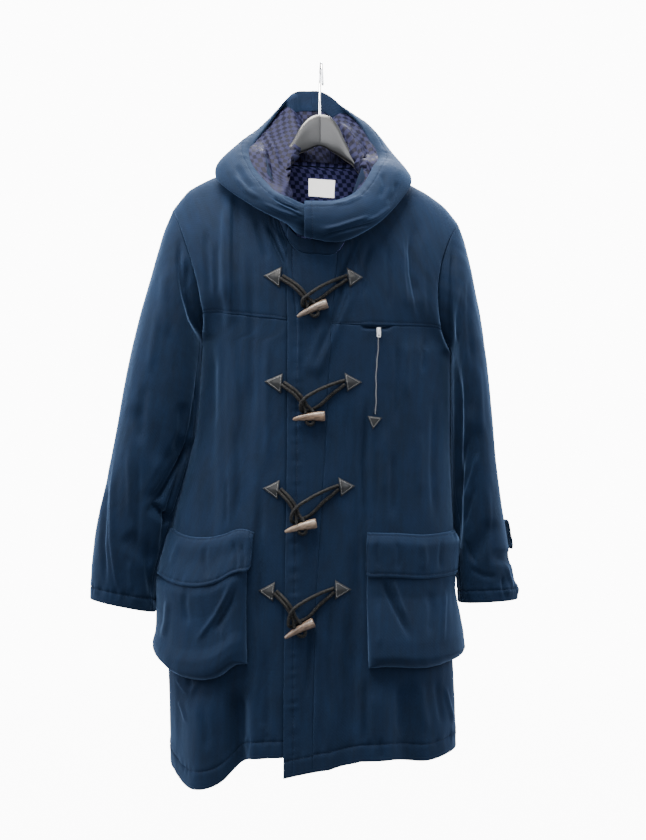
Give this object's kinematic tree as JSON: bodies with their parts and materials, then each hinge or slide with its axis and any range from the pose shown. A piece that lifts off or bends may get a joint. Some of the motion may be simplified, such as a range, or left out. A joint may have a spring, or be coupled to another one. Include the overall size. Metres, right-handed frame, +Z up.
{
  "type": "duffle coat on a coat hanger",
  "caption": "Hooded padded duffle coat with horn toggles, flap pockets and a chest zip, hanging from a plain wooden hanger",
  "frame": {"origin": "underside of the hanger hook's crook, where it rests on a rail", "axes": "+Z up, the coat's front towards -Y, the wearer's right sleeve towards -X"},
  "size_m": [0.705, 0.3107, 1.182],
  "materials": {
    "navy_cloth": "soft peached weave",
    "navy_facing": "soft peached weave",
    "check_lining": "satin, small woven check",
    "leather": "smooth, worn edge",
    "cord": "braided",
    "horn": "satin, streaked",
    "zip_steel": "polished",
    "label_tape": "plain woven tape",
    "hanger_wood": "grey stain, satin",
    "hook_chrome": "bright"
  },
  "bodies": {
    "coat": {"back": "navy_cloth", "cord_1": "cord", "cord_2": "cord", "cord_3": "cord", "cord_4": "cord", "flap_left": "navy_cloth", "flap_right": "navy_cloth", "front_left": "navy_cloth", "front_right": "navy_cloth", "hanger": "hanger_wood", "hanger_hook": "hook_chrome", "hood_facing_left": "navy_facing", "hood_facing_right": "navy_facing", "hood_left": "navy_cloth", "hood_lining_left": "check_lining", "hood_lining_right": "check_lining", "hood_right": "navy_cloth", "horn_1": "horn", "horn_2": "horn", "horn_3": "horn", "horn_4": "horn", "loop_1": "cord", "loop_2": "cord", "loop_3": "cord", "loop_4": "cord", "neck_label": "label_tape", "neck_lining": "check_lining", "neck_stand": "navy_cloth", "patch_left_1": "leather", "patch_left_2": "leather", "patch_left_3": "leather", "patch_left_4": "leather", "patch_right_1": "leather", "patch_right_2": "leather", "patch_right_3": "leather", "patch_right_4": "leather", "placket": "navy_cloth", "pocket_left": "navy_cloth", "pocket_right": "navy_cloth", "sleeve_left_top": "navy_cloth", "sleeve_left_under": "navy_cloth", "sleeve_right_top": "navy_cloth", "sleeve_right_under": "navy_cloth", "tab_left": "navy_cloth", "tab_right": "navy_cloth", "yoke_left": "navy_cloth", "yoke_right": "navy_cloth", "zip_chain": "zip_steel", "zip_patch": "leather", "zip_slider": "zip_steel"},
    "zip_pull": {"zip_pull": "zip_steel"}
  },
  "joints": [
    {"name": "zip_pull_swing", "type": "hinge", "parent": "coat", "child": "zip_pull", "pos_m": [0.0916, -0.11203, -0.44364], "axis": [0.9923, 0.1235, 0], "range_deg": [-150, 0]}
  ]
}
